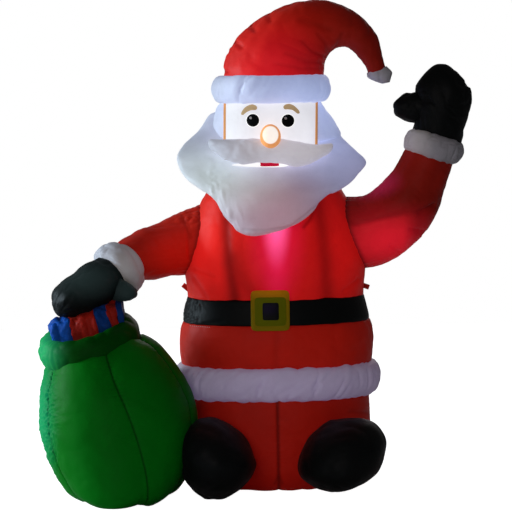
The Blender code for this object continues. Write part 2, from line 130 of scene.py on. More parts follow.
RESTING_SLEEVE = [
    (-125, 590, -160, 441, 0, 68), (-190, 570, -192, 440, 8, 66), (-236, 549, -226, 438, 30, 61),
    (-279, 536, -250, 434, 56, 56), (-318, 513, -274, 436, 84, 50), (-338, 498, -296, 430, 100, 46),
]
RESTING_CUFF = [
    (-326, 514, -279, 424, 86, 50), (-350, 506, -284, 413, 100, 57), (-369, 485, -305, 409, 114, 50),
]
RESTING_MITTEN = [
    (-350, 488, -302, 428, 106, 36), (-389, 472, -318, 407, 132, 45), (-424, 447, -345, 386, 152, 49),
    (-449, 419, -388, 368, 162, 48), (-459, 390, -424, 358, 168, 38),
]
RESTING_THUMB = [
    (-314, 446, -330, 400, 150, 24), (-293, 433, -305, 400, 158, 21), (-276, 424, -283, 405, 162, 16),
]
SACK = [
    (-397, 0, -238, 0, 196, 116), (-428, 20, -200, 22, 184, 140), (-459, 68, -168, 84, 174, 148),
    (-480, 136, -161, 158, 166, 150), (-482, 192, -173, 216, 160, 148), (-476, 239, -202, 267, 156, 132),
    (-462, 282, -237, 311, 154, 106), (-440, 304, -268, 330, 154, 84),
]
# Turns of the sack's seams in degrees, from the ground up: the front one leans, the others run straight up
SACK_SEAMS = [(52, 71.5, 82.5, 84), (17,), (153,), (205,), (263,), (317,)]
GORE_DEPTH = 7 * MIL
COLLAR_PLACE = (-378, 316, 154)     # x, height and forward place of the collar's middle
COLLAR_LEAN = math.radians(14)      # the right side of the picture is higher
COLLAR_TILT = math.radians(12)      # the front is lower
COLLAR_HALF_WIDTH = 105 * MIL
COLLAR_HALF_DEPTH = 104 * MIL
COLLAR_TUBE = 0.092
COLLAR_STRETCH = 1.35               # the collar's height over its tube's width
PARCELS = [
    (-459, 352, -436, 286, 152, 34), (-446, 364, -426, 288, 152, 48), (-418, 372, -400, 291, 152, 53),
    (-390, 381, -372, 294, 152, 55), (-362, 390, -344, 300, 152, 55), (-335, 396, -318, 308, 152, 52),
    (-312, 398, -298, 316, 152, 44),
]
# Where each slice of the parcels starts and ends, its slot, and how much of its light the mitten takes
PARCEL_SLICES = [
    ("parcel_1", 0.0, 2.0, "blue_cloth", 0.1), ("parcel_1_ribbon", 2.0, 3.8, "red_cloth", 0.25),
    ("parcel_2", 3.8, 4.75, "blue_cloth", 0.65), ("parcel_2_ribbon", 4.75, 5.45, "red_cloth", 0.45),
    ("parcel_2_end", 5.45, 6.0, "blue_cloth", 0.7),
]
PARCEL_GAP = (-408, -389)           # x of the shadow between the ribbon's two bands
LEFT_BOOT = [
    (-150, 0, -106, 0, 186, 24), (-182, 30, -66, 28, 188, 86), (-203, 72, -45, 62, 190, 104),
    (-208, 102, -50, 89, 190, 104), (-200, 136, -66, 119, 186, 88), (-167, 157, -92, 143, 182, 56),
    (-145, 163, -120, 159, 180, 24),
]
RIGHT_BOOT = [
    (102, 10, 140, 12, 186, 24), (68, 24, 180, 32, 188, 84), (42, 45, 205, 59, 190, 104),
    (42, 79, 217, 94, 190, 104), (60, 113, 214, 120, 186, 90), (84, 138, 194, 145, 182, 60),
    (104, 152, 170, 155, 180, 26),
]

# Camera: the photograph was taken from far off, a little above the figure's middle
CAMERA_PLACE = Vector((0.0, -10.43, 1.603))
CAMERA_AIM = Vector((-0.0708, 0.0, 0.8548))
CAMERA_LENS = 196.9         # millimetres on a 36 mm wide picture
CAMERA_ROLL = math.radians(-1.0)


def linear(code):
    """Linear colour of an sRGB hex code."""
    values = [int(code[i:i + 2], 16) / 255 for i in (1, 3, 5)]
    return [v / 12.92 if v <= 0.04045 else ((v + 0.055) / 1.055) ** 2.4 for v in values] + [1.0]


def add_node(tree, kind, inputs=None, **settings):
    """Add a node: inputs are values or the sockets that feed them, settings are its properties."""
    made = tree.nodes.new(kind)
    for name, value in settings.items():
        setattr(made, name, value)
    for name, value in (inputs or {}).items():
        if isinstance(value, bpy.types.NodeSocket):
            tree.links.new(value, made.inputs[name])
        else:
            made.inputs[name].default_value = value
    return made


def ranged(tree, value, low, high, start=0.0, end=1.0):
    """Map a value from start and end to low and high."""
    return add_node(tree, "ShaderNodeMapRange", {"Value": value, "From Min": start, "From Max": end,
                                                 "To Min": low, "To Max": high}).outputs["Result"]


def product(tree, first, second):
    return add_node(tree, "ShaderNodeMath", {0: first, 1: second}, operation="MULTIPLY").outputs["Value"]


def scaled(tree, colour, strength):
    return add_node(tree, "ShaderNodeVectorMath", {0: colour, "Scale": strength},
                    operation="SCALE").outputs["Vector"]


# Patterns of the cloth, in metres
THREAD = 0.0012             # real threads are a fifth of this; drawn coarser so that the weave shows
WEAVE_WAVE = 0.159          # scale at which the wave texture's bands lie two threads apart
CRINKLE = 0.016             # small dents of the thin coated cloth
MOTTLE = 0.11               # patches where the coat is thicker


def coated_polyester(name, colour, roughness=0.5, specular=0.10, sheen=0.02, crinkle=0.0007):
    """Thin woven polyester with a clear coat: satin, saturated, faintly crinkled, lit through by the lamps.

    The attribute "lamp" is light painted into the cloth: mostly that of the lamps inside, which comes through
    it, and on a few pieces highlights of the window light. The attribute "seam" darkens, up to 1: along a
    sewn edge, where the cloth is doubled and lets through and returns less, and as painted shade in creases,
    in shadows and on sides away from the light.
    """
    material = bpy.data.materials.new(name)
    material.use_nodes = True
    tree = material.node_tree
    shader = tree.nodes["Principled BSDF"]
    shader.inputs["Specular IOR Level"].default_value = specular
    shader.inputs["Sheen Weight"].default_value = sheen
    shader.inputs["Sheen Roughness"].default_value = 0.5
    shader.inputs["Emission Strength"].default_value = 1.0
    spot = add_node(tree, "ShaderNodeTexCoord")
    dents = add_node(tree, "ShaderNodeTexNoise", {
        "Vector": spot.outputs["Object"], "Scale": 1 / CRINKLE, "Detail": 3.0, "Roughness": 0.6,
        "Distortion": 0.6}).outputs["Fac"]
    patches = add_node(tree, "ShaderNodeTexNoise", {
        "Vector": spot.outputs["Object"], "Scale": 1 / MOTTLE, "Detail": 3.0}).outputs["Fac"]
    seam = add_node(tree, "ShaderNodeAttribute", attribute_name="seam").outputs["Fac"]
    lamp = add_node(tree, "ShaderNodeAttribute", attribute_name="lamp").outputs["Color"]
    weave_map = add_node(tree, "ShaderNodeMapping", {
        "Vector": spot.outputs["UV"], "Scale": (1 / THREAD, 1 / THREAD, 1.0)}).outputs["Vector"]
    warp, weft = (add_node(tree, "ShaderNodeTexWave", {"Vector": weave_map, "Scale": WEAVE_WAVE},
                           bands_direction=direction).outputs["Fac"] for direction in "XY")
    weave = product(tree, warp, weft)
    # Strength scales the cloth's colour and its lamp light: random patches of thicker coat, the seam
    # attribute (darker seams and painted shade), the weave, and a little painted shade in the low spots of
    # the dents
    strength = ranged(tree, patches, 0.94, 1.04, 0.3, 0.7)
    for factor in (ranged(tree, seam, 1.0, 0.2), ranged(tree, weave, 0.97, 1.04),
                   ranged(tree, dents, 0.97, 1.0, 0.3, 0.5)):
        strength = product(tree, strength, factor)
    threads = add_node(tree, "ShaderNodeBump", {
        "Height": weave, "Distance": THREAD / 16, "Strength": 0.5}).outputs["Normal"]
    bump = add_node(tree, "ShaderNodeBump", {
        "Height": dents, "Distance": crinkle, "Strength": 1.0, "Normal": threads}).outputs["Normal"]
    for name, source in (("Base Color", scaled(tree, linear(colour)[:3], strength)),
                         ("Emission Color", scaled(tree, lamp, strength)),
                         ("Roughness", ranged(tree, dents, roughness - 0.08, roughness + 0.08)),
                         ("Normal", bump)):
        tree.links.new(source, shader.inputs[name])
    return material


CLOTHS = {
    "red_cloth": coated_polyester("red coated polyester", "#D02818"),
    "white_cloth": coated_polyester("white coated polyester", "#D4D0D8", crinkle=0.0004),
    "black_cloth": coated_polyester("black coated polyester", "#0A0D0D", specular=0.11),
    "green_cloth": coated_polyester("green coated polyester", "#007812", specular=0.05, sheen=0.0),
    "blue_cloth": coated_polyester("blue coated polyester", "#0A54B8"),
    "yellow_cloth": coated_polyester("yellow coated polyester", "#A0860E", specular=0.04),
    "face_cloth": coated_polyester("pale face polyester", "#A8A4A2", specular=0.05),
    "nose_cloth": coated_polyester("tan polyester", "#E09858"),
}
OLIVE_CLOTH = coated_polyester("olive polyester backing", "#7A7C08", specular=0.03)
EYE_INK, BROW_INK, MOUTH_INK = (
    coated_polyester(name + " ink printed on polyester", colour, roughness=0.6, specular=0.03)
    for name, colour in (("black", "#101214"), ("brown", "#A8906C"), ("red", "#B01030")))
THREAD_WHITE = coated_polyester("white sewing thread", "#C8C4C4", roughness=0.7, specular=0.03)

# Where a point of a form is: its place, metres from both ends, angle round the section, girth there, and
# metres from the nearest lengthwise seam
Spot = namedtuple("Spot", "place along left turn girth aside")
# A line pressed into the cloth: points seen from the front in thousandths, width in thousandths, depth in
# metres, and how much painted shade darkens it
Crease = namedtuple("Crease", "points width depth dark")
# How Blender's Cloth blows a piece up: spare cloth as a share, and the furthest that a point may move
Air = namedtuple("Air", "spare cap")
AIR_FRAMES = 20
AIR_PRESSURE = 4.0
FAR = 9.0                   # metres, further off than any part of the figure
SEAM_CROWDING = 0.85        # how far points crowd to a lengthwise seam; 1 would fold the skin over there
SEAM_DARK = 0.7             # share of the light that a seam loses
SEWN_REACH = 0.004          # cloth this near to a seam is held by its thread
ARMHOLE_REACH = 0.010
ARMHOLE_PLEAT_REACH = 0.05


# Rings of a rounded edge or end: how far in each lies and its size, as shares
ARC_STEPS = 10
ARC = [(1 - math.cos(math.pi / 2 * step / ARC_STEPS), math.sin(math.pi / 2 * step / ARC_STEPS))
       for step in range(ARC_STEPS)]


def between(keys, t):
    """Values of the keys at t, where whole numbers are keys: a smooth curve through all of them."""
    last = len(keys) - 1
    i = min(int(t), last - 1)
    u = t - i
    before, start, end, after = keys[max(i - 1, 0)], keys[i], keys[i + 1], keys[min(i + 2, last)]
    values = []
    for a, b, c, d in zip(before, start, end, after):
        leave = (c - a) / 2
        arrive = (d - b) / 2
        values.append(
            b + u * leave + u * u * (3 * (c - b) - 2 * leave - arrive)
            + u * u * u * (2 * (b - c) + leave + arrive)
        )
    return values


def section(keys, t, scale=1.0, square=False):
    """Centre, half width and half depth of a form at t, the last two as vectors."""
    x1, z1, x2, z2, forward, depth = (value * MIL for value in between(keys, t))
    centre = Vector(((x1 + x2) / 2, -forward, (z1 + z2) / 2))
    across = Vector(((x2 - x1) / 2, 0, (z2 - z1) / 2))
    deep = Vector((0, -1, 0))
    if square:
        step = 0.05
        ahead = section(keys, min(t + step, len(keys) - 1))[0]
        behind = section(keys, max(t - step, 0))[0]
        deep = across.cross(ahead - behind).normalized()
    return centre, across * scale, deep * depth * scale


def girth_of(across, deep):
    """Length round an ellipse, by Ramanujan's formula."""
    a, b = across.length, deep.length
    return math.pi * (3 * (a + b) - math.sqrt((3 * a + b) * (a + 3 * b)))


def squared(turn, power):
    """Point at a turn of a circle that's squared by a power above 2."""
    return [math.copysign(abs(value) ** (2 / power), value) for value in (math.cos(turn), math.sin(turn))]


def gore_at(turn, seams, share):
    """How far across its gore a turn is, from 0 to 1, and the gore's angle.

    A seam is its turns in degrees, evenly from one end of the form to the other, and share is how far along
    the place is.
    """
    turn %= math.tau
    starts = [math.radians(between([(each,) for each in turns], share * (len(turns) - 1))[0]) % math.tau
              for turns in seams]
    behind = max([start for start in starts if start <= turn], default=max(starts) - math.tau)
    ahead = min([start for start in starts if start > turn], default=min(starts) + math.tau)
    return (turn - behind) / (ahead - behind), ahead - behind


def envelope(name, sections, slot, sides=128, power=2.0, reliefs=(), creases=(), shades=(), seams=(),
             lamp=None, seam_width=0.006, node=None, air=None, trim=False):
    """Cloth skin over a row of sections, from a sphere whose rings are laid on them; the ends are its poles.

    The reliefs are functions of a Spot that give heights, which add up, and the shades are functions that
    darken. The points crowd to the lengthwise seams. The UV map is in metres. A trim replaces no node.
    """
    rows = len(sections) - 1
    bm = bmesh.new()
    bmesh.ops.create_uvsphere(bm, u_segments=sides, v_segments=rows, radius=1.0)
    along = [0.0]
    for before, after in zip(sections, sections[1:]):
        step = [(after[0] - before[0]).length]
        step += [((after[0] + side * after[i]) - (before[0] + side * before[i])).length
                 for i in (1, 2) for side in (-1, 1)]
        along.append(along[-1] + sum(step) / len(step))
    whole = along[-1]
    first_girth = girth_of(*sections[1][1:])
    last_girth = girth_of(*sections[-2][1:])
    pressed = [pressed_line(crease) for crease in creases]
    spots = []
    for vertex in bm.verts:
        row = round(math.acos(max(-1.0, min(1.0, -vertex.co.z))) * rows / math.pi)
        centre, across, deep = sections[row]
        turn = math.atan2(vertex.co.y, vertex.co.x)
        aside = FAR
        if seams:
            over, gore = gore_at(turn, seams, row / rows)
            pull = SEAM_CROWDING * math.sin(math.tau * over) / math.tau
            turn -= pull * gore
            over -= pull
        u, v = squared(turn, power)
        reach = across * u + deep * v
        if seams:
            aside = min(over, 1 - over) * gore * reach.length
        vertex.co = centre + reach
        girth = first_girth if along[row] < whole / 2 else last_girth
        spots.append(Spot(vertex.co.copy(), along[row], whole - along[row], turn, girth, aside))
    bm.normal_update()
    if bm.calc_volume(signed=True) < 0:
        bmesh.ops.reverse_faces(bm, faces=bm.faces)
        bm.normal_update()
    poles = {vertex.index for vertex in bm.verts if len(vertex.link_edges) > 4}
    for vertex, spot in zip(bm.verts, spots):
        if vertex.index not in poles:
            height = sum(relief(spot) for relief in reliefs)
            height -= sum(crease.depth * line(spot) for crease, line in zip(creases, pressed))
            vertex.co += vertex.normal * height
    widest = max(girth_of(*each[1:]) for each in sections)
    uv = bm.loops.layers.uv.new("cloth")
    for face in bm.faces:
        turns = [spots[loop.vert.index].turn / math.tau for loop in face.loops]
        wraps = max(turns) - min(turns) > 0.5
        for loop, turn in zip(face.loops, turns):
            round_share = turn + 1.0 if wraps and turn < 0 else turn
            loop[uv].uv = (round_share * widest, spots[loop.vert.index].along)
    # Darkening for the seam attribute: sewn edges and seams, and painted shade from the creases and the
    # shades
    dark = []
    for spot in spots:
        nearest = min(spot.along, spot.left, spot.aside)
        pale = 1 - SEAM_DARK * math.exp(-(nearest / seam_width) ** 2)
        for crease, line in zip(creases, pressed):
            pale *= 1 - crease.dark * line(spot)
        for shade in shades:
            pale *= 1 - shade(spot)
        dark.append(1 - pale)
    if trim:
        return finish_piece(name, bm, slot, dark, lamp)
    piece = finish_piece(name, bm, slot, dark, lamp, node=node or name)
    if air:
        sewn = [i for i, spot in enumerate(spots) if min(spot.along, spot.left, spot.aside) < SEWN_REACH]
        inflate(piece, sewn, air)
    return piece


def new_object(name, data):
    made = bpy.data.objects.new(name, data)
    bpy.context.scene.collection.objects.link(made)
    return made


def finish_piece(name, bm, slot, dark=None, lamp=None, node=None, material=None):
    """Make the piece, with its slot's cloth or a material of its own, and give it to the frame."""
    mesh = bpy.data.meshes.new(name)
    bm.to_mesh(mesh)
    bm.free()
    mesh.materials.append(material or CLOTHS[slot])
    mesh.shade_smooth()
    light = []
    for vertex in mesh.vertices:
        light += [*(lamp(vertex.co) if lamp else (0.0, 0.0, 0.0)), 1.0]
    mesh.attributes.new("lamp", "FLOAT_COLOR", "POINT").data.foreach_set("color", light)
    dark = dark or [0.0] * len(mesh.vertices)
    # The seam attribute holds darker seams and painted shade
    mesh.attributes.new("seam", "FLOAT", "POINT").data.foreach_set("value", dark)
    piece = new_object(name + "_cloth", mesh)
    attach(piece, "root")
    if node:
        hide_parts(node)
    return piece


def inflate(piece, sewn, air):
    """Blow the skin up with Blender's Cloth: sewn points stay put, and the cloth between them wrinkles."""
    group = piece.vertex_groups.new(name="sewn")
    group.add(sewn, 1.0, "REPLACE")
    before = [vertex.co.copy() for vertex in piece.data.vertices]
    cloth = piece.modifiers.new("air", "CLOTH")
    settings = cloth.settings
    settings.quality = 4
    settings.mass = 0.15
    settings.bending_stiffness = 0.02
    settings.use_pressure = True
    settings.uniform_pressure_force = AIR_PRESSURE
    settings.shrink_min = -air.spare
    settings.vertex_group_mass = "sewn"
    settings.effector_weights.gravity = 0.0
    cloth.collision_settings.use_collision = False
    cloth.point_cache.frame_start = 1
    cloth.point_cache.frame_end = AIR_FRAMES
    for moment in range(1, AIR_FRAMES + 1):
        bpy.context.scene.frame_set(moment)
    blown = piece.evaluated_get(bpy.context.evaluated_depsgraph_get())
    after = [vertex.co.copy() for vertex in blown.to_mesh().vertices]
    blown.to_mesh_clear()
    piece.modifiers.remove(cloth)
    piece.vertex_groups.remove(group)
    places = []
    for start, end in zip(before, after):
        move = end - start
        places.extend(start + move * min(1.0, air.cap / max(move.length, 1e-9)))
    piece.data.vertices.foreach_set("co", places)
    piece.data.update()
    bpy.context.scene.frame_set(1)


def rows_of(keys, rings, start_round=0.0, end_round=0.0, start=0.0, end=None, square=False):
    """Sections through the keys; a rounded end closes along a quarter circle, any other is flat."""
    end = len(keys) - 1 if end is None else end
    rows = [(start, 0.0)]
    if start_round:
        rows += [(start + start_round * run, size) for run, size in ARC[1:]]
    rows += [(start + start_round + (end - end_round - start - start_round) * ring / rings, 1.0)
             for ring in range(rings + 1)]
    if end_round:
        rows += [(end - end_round * run, size) for run, size in reversed(ARC[1:])]
    rows.append((end, 0.0))
    return [section(keys, t, scale, square) for t, scale in rows]


def body_size(height, grow):
    """Half width and half depth of the body at a height, grown outwards by a distance."""
    mils = height / MIL
    i = 0
    while i < len(BODY) - 2 and BODY[i + 1][0] < mils:
        i += 1
    t = i + (mils - BODY[i][0]) / (BODY[i + 1][0] - BODY[i][0])
    return [value * MIL + grow for value in between(BODY, t)[1:]]


def body_section(height, grow):
    width, depth = body_size(height, grow)
    return Vector((0, 0, height)), Vector((width, 0, 0)), Vector((0, -depth, 0))


def out_of_body(place):
    """Distance of a place outside the body's skin, about; negative inside."""
    width, depth = body_size(min(place.z, BODY[-1][0] * MIL), 0.0)
    share = (abs(place.x / width) ** BODY_SQUARE + abs(place.y / depth) ** BODY_SQUARE) ** (1 / BODY_SQUARE)
    return (share - 1) * (width + depth) / 2


def flat_pole(height):
    return Vector((0, 0, height)), Vector((0, 0, 0)), Vector((0, 0, 0))


def billow(place):
    """Rounded swells with sharp valleys between them, from about -0.5 to 1."""
    return 3.0 * abs(noise.noise(place)) - 0.5


def ripple(turn, count, seed):
    """Uneven pleats round a ring, between about -1 and 1."""
    ring = Vector((math.cos(turn), math.sin(turn), 0))
    wander = noise.noise(ring * 2.5 + Vector((0, 0, seed)))
    strength = 0.65 + 0.8 * noise.noise(ring * 6.0 + Vector((0, 0, seed + 5.3)))
    return strength * math.sin(round(count) * turn + 4.0 * wander)


def end_gathers(at_start=1.0, at_end=1.0, pitch=0.022, depth=0.003, reach=0.022, seed=0.0):
    """Small pleats that run out from the sewn ends."""
    def height(spot):
        near = at_start * math.exp(-spot.along / reach) + at_end * math.exp(-spot.left / reach)
        if near < 0.02:
            return 0.0
        return depth * near * ripple(spot.turn, spot.girth / pitch, seed)
    return height


def seam_pinch(depth=0.006, width=0.006, pucker=0.0025, pitch=0.014, reach=0.022, seed=0.0):
    """A lengthwise seam pulled in by its thread, with puckers across it."""
    def height(spot):
        if spot.aside > 5 * reach:
            return 0.0
        wander = 2.5 * noise.noise(Vector((spot.along / 0.06, spot.turn, seed)))
        strength = 0.6 + 0.9 * noise.noise(Vector((spot.along / 0.035, spot.turn, seed + 3.1)))
        gathers = pucker * strength * math.sin(math.tau * spot.along / pitch + wander)
        return gathers * math.exp(-spot.aside / reach) - depth * math.exp(-spot.aside / width)
    return height


def crinkles(size=0.05, depth=0.0012, seed=0.0):
    """Shallow swells of the slack cloth with creases between them."""
    def height(spot):
        place = spot.place / size + Vector((seed, 0, 0))
        return depth * (billow(place) + 0.4 * billow(place * 2.3))
    return height


def wrinkles(lean, pitch, depth, length=5.0, seed=0.0, near=None):
    """Long wrinkles that lean a number of degrees to the right of upright; near is their centre and reach."""
    turn = math.radians(lean)
    run = Vector((math.sin(turn), 0, math.cos(turn)))
    side = Vector((math.cos(turn), 0, -math.sin(turn)))

    def height(spot):
        share = glow(spot.place, *near) if near else 1.0
        if share < 0.01:
            return 0.0
        place = Vector((spot.place.dot(side), spot.place.y, spot.place.dot(run) / length)) / pitch
        return share * depth * billow(place + Vector((seed, seed, 0)))
    return height


def armhole_pleats(depth, count, seed):
    """Pleats that run out from an armhole along the sleeve."""
    def height(spot):
        near = math.exp(-max(out_of_body(spot.place), 0.0) / ARMHOLE_PLEAT_REACH)
        return 0.0 if near < 0.03 else depth * near * ripple(spot.turn, count, seed)
    return height


def armhole_shade(dark):
    """Dark line of painted shade where a sleeve is sewn to the body."""
    return lambda spot: dark * math.exp(-(max(out_of_body(spot.place), 0.0) / ARMHOLE_REACH) ** 2)


def side_shade(dark, start, end):
    """Shade that grows from one x to another, in thousandths."""
    return lambda spot: dark * min(1.0, max(0.0, (spot.place.x / MIL - start) / (end - start)))


def pressed_line(crease):
    """Share of a crease at a Spot on the front: 1 on its line, fading over its width and at its ends."""
    points = [Vector(point) * MIL for point in crease.points]
    width = crease.width * MIL

    def share(spot):
        if spot.place.y > 0:
            return 0.0
        seen = Vector((spot.place.x, spot.place.z))
        best = 0.0
        for start, end in zip(points, points[1:]):
            span = end - start
            part = max(0.0, min(1.0, (seen - start).dot(span) / span.length_squared))
            miss = (seen - start - span * part).length / width
            best = max(best, math.exp(-miss * miss))
        return best
    return share


def glow(place, centre, reach):
    """Share of a lamp's light at a place: 1 at its centre, fading to 0 at its reach, both as x, y, z."""
    away = min(1.0, math.sqrt(sum(((p / MIL - c) / r) ** 2 for p, c, r in zip(place, centre, reach))))
    return 1 - away * away * (3 - 2 * away)


def lamps(*lights):
    """Light painted into the cloth's glow, from the lamps inside and on a few pieces painted highlights of
    the window light: each lamp has a centre, a reach, a colour and a strength.
    """
    made = [(centre, reach, linear(colour), strength) for centre, reach, colour, strength in lights]

    def light(place):
        total = [0.0, 0.0, 0.0]
        for centre, reach, colour, strength in made:
            share = strength * glow(place, centre, reach)
            for i in range(3):
                total[i] += share * colour[i]
        return total
    return light


def even_light(x, z, colour, strength):
    """Lamps whose light hardly changes over a small print at x and z."""
    return lamps(((x, -200, z), (400, 500, 400), colour, strength))


def front_of(piece):
    """Function that gives the point of a finished skin seen from the front at x and z, in metres."""
    tree = BVHTree.FromPolygons([vertex.co for vertex in piece.data.vertices],
                                [list(face.vertices) for face in piece.data.polygons])

    def point(x, z):
        hit = tree.ray_cast(Vector((x, -FAR, z)), Vector((0, 1, 0)))[0]
        return hit if hit else Vector((x, 0, z))
    return point


def body_front(grow):
    """Like front_of, for the body's smooth form grown outwards by a distance."""
    def point(x, z):
        width, depth = body_size(z, grow)
        share = min(1.0, abs(x / width)) ** BODY_SQUARE
        return Vector((x, -depth * (1 - share) ** (1 / BODY_SQUARE), z))
    return point


def flat_uv(bm):
    """UV map in metres, seen from the front."""
    uv = bm.loops.layers.uv.new("cloth")
    for face in bm.faces:
        for loop in face.loops:
            loop[uv].uv = (loop.vert.co.x, loop.vert.co.z)


def smooth_outline(points, count):
    """Points of a closed smooth curve through the given ones."""
    closed = list(points) + list(points[:3])
    return [between(closed, 1 + len(points) * i / count) for i in range(count)]


def oval(x, z, half_width, half_height, count):
    """Points of an ellipse, seen from the front."""
    turns = [math.tau * i / count for i in range(count)]
    return [(x + half_width * math.cos(turn), z + half_height * math.sin(turn)) for turn in turns]


def square_outline(left, low, right, high, power=9.0, count=96):
    """Square with rounded corners, seen from the front."""
    points = []
    for i in range(count):
        across, up = squared(math.tau * i / count, power)
        points.append(((left + right + (right - left) * across) / 2, (low + high + (high - low) * up) / 2))
    return points


def printed_patch(name, outline, surface, slot, material=None, lift=0.0008, thick=0.0008, rings=10,
                  lamp=None, node=None):
    """Thin closed patch laid on a skin, inside an outline seen from the front, in thousandths."""
    sides = len(outline)
    corners = [Vector((x, 0, z)) * MIL for x, z in outline]
    middle = sum(corners, Vector()) / sides
    bm = bmesh.new()
    bmesh.ops.create_uvsphere(bm, u_segments=sides, v_segments=rings, radius=1.0)
    for vertex in bm.verts:
        turn = math.atan2(vertex.co.y, vertex.co.x)
        share = math.hypot(vertex.co.x, vertex.co.y)
        corner = corners[round(turn / math.tau * sides) % sides]
        seen = middle + (corner - middle) * share
        vertex.co = surface(seen.x, seen.z) - Vector((0, lift + thick * vertex.co.z, 0))
    bm.normal_update()
    if bm.calc_volume(signed=True) < 0:
        bmesh.ops.reverse_faces(bm, faces=bm.faces)
    flat_uv(bm)
    return finish_piece(name, bm, slot, lamp=lamp, node=node, material=material)


def welt(name, points, radius, slot, lamp):
    """Thin round trim along points in metres."""
    last = len(points) - 1
    sections = []
    for i in [0, *range(last + 1), last]:
        run = (points[min(i + 1, last)] - points[max(i - 1, 0)]).normalized()
        across = run.cross(Vector((0, -1, 0))).normalized()
        size = radius if 0 < len(sections) < last + 2 else 0.0
        sections.append((points[i], across * size, run.cross(across) * size))
    envelope(name, sections, slot, sides=12, trim=True, lamp=lamp)


# Light painted into the cloth's glow, as centre and reach in thousandths, colour and strength: most stand for
# the lamps inside the figure, whose light comes through the cloth
CHEST_LAMP = ((0, -150, 500), (330, 300, 330), "#FF0A1C", 0.34)
CHEST_BAND = ((3, -150, 572), (38, 200, 130), "#FF84DC", 0.60)
CHEST_LOW = ((3, -150, 440), (36, 200, 120), "#FF2898", 0.07)
CHEST_SPREAD = ((3, -150, 520), (75, 200, 170), "#FF0A70", 0.22)
SKIRT_LAMP = ((40, -150, 300), (330, 300, 150), "#FF1408", 0.09)
HEM_LAMP = ((20, -150, 215), (500, 400, 120), "#C8A8F0", 0.15)
TROUSER_LAMP = ((20, -150, 100), (400, 400, 220), "#FF1206", 0.06)
SHOULDER_LEFT = ((-145, -120, 500), (85, 200, 170), "#FF2824", 0.40)
SHOULDER_RIGHT = ((150, -120, 480), (85, 200, 170), "#FF1414", 0.14)
HAT_LAMP = ((-20, -100, 850), (190, 300, 150), "#FF1430", 0.40)
HAT_TOP = ((20, -60, 950), (150, 200, 90), "#FF1808", 0.12)
HEAD_LAMP = ((50, -100, 785), (330, 400, 190), "#AEC2F8", 0.68)
FACE_LAMP = ((20, -110, 750), (400, 330, 400), "#F6F6FE", 0.81)
BEARD_LAMP = ((-115, -150, 652), (180, 300, 116), "#E4F8F2", 0.37)
MOUSTACHE_LAMP = ((35, -100, 710), (210, 400, 150), "#D8D2DA", 0.58)
CHIN_LIGHT = ((0, -170, 560), (170, 200, 150), "#F0A0B8", 0.26)
BEARD_RIGHT = ((150, -100, 640), (150, 300, 130), "#A8A8E0", 0.32)
SLEEVE_GLOW = ((235, -60, 508), (155, 220, 98), "#FF1A38", 0.44)
SLEEVE_BLUSH = ((188, -60, 628), (90, 200, 48), "#FF3484", 0.36)
# Painted highlights of the window light, not light from inside: the resting mitten's sheen, the sack's lit
# left edge and the collar's lit left end
MITTEN_SHEEN = ((-395, -180, 450), (110, 120, 60), "#5C7878", 0.12)
SACK_EDGE_HIGHLIGHT = ((-490, -190, 180), (64, 300, 230), "#24C8A0", 0.42)
COLLAR_EDGE_HIGHLIGHT = ((-480, -190, 310), (80, 200, 90), "#38D098", 0.52)
HAIR_RIGHT = ((132, -50, 745), (60, 300, 60), "#C0C8F0", 0.16)
CUFF_PALE = ((285, -50, 712), (60, 300, 60), "#D8D0B8", 0.10)
CUFF_WARM = ((-315, -150, 465), (80, 200, 80), "#D8C890", 0.05)
# Painted sheen of the window light on the resting thumb
THUMB_SHEEN = ((-300, -170, 425), (55, 120, 50), "#5C7878", 0.08)
RESTING_GLOW = ((-200, -80, 490), (120, 200, 90), "#FF0A05", 0.16)


# Notches down the hat's left side, a puffed corner, and folds that run out from the bend of its tail, all
# darkened by painted shade
HAT_CREASES = [
    Crease([(-112, 861), (-92, 858)], 4, 0.008, 0.25),
    Crease([(-84, 925), (-62, 908)], 5, 0.009, 0.25),
    Crease([(-84, 916), (-78, 903), (-90, 895)], 3, 0.004, 0.15),
    Crease([(-50, 962), (-34, 942)], 5, 0.008, 0.2),
    Crease([(-8, 985), (-2, 962)], 5, 0.006, 0.15),
    Crease([(110, 872), (72, 876), (30, 892)], 5, 0.004, 0.2),
    Crease([(112, 884), (84, 896), (62, 918)], 4, 0.005, 0.25),
    Crease([(104, 862), (60, 862), (10, 872)], 4, 0.003, 0.15),
    Crease([(118, 892), (112, 912), (96, 932)], 5, 0.004, 0.2),
    Crease([(134, 905), (146, 930)], 5, 0.004, 0.2),
    Crease([(60, 960), (90, 952), (120, 940)], 8, 0.003, 0.2),
]
# Folds near the belt's left end, darkened by painted shade, and the painted shadow on that end
BELT_FOLDS = [
    Crease([(-196, 348), (-170, 366), (-158, 388)], 3, 0.003, 0.3),
    Crease([(-192, 344), (-160, 356)], 3, 0.003, 0.3),
    Crease([(-150, 344), (-110, 352)], 4, 0.002, 0.2),
    Crease([(-197, 340), (-190, 400)], 26, 0.0, 0.85),
]
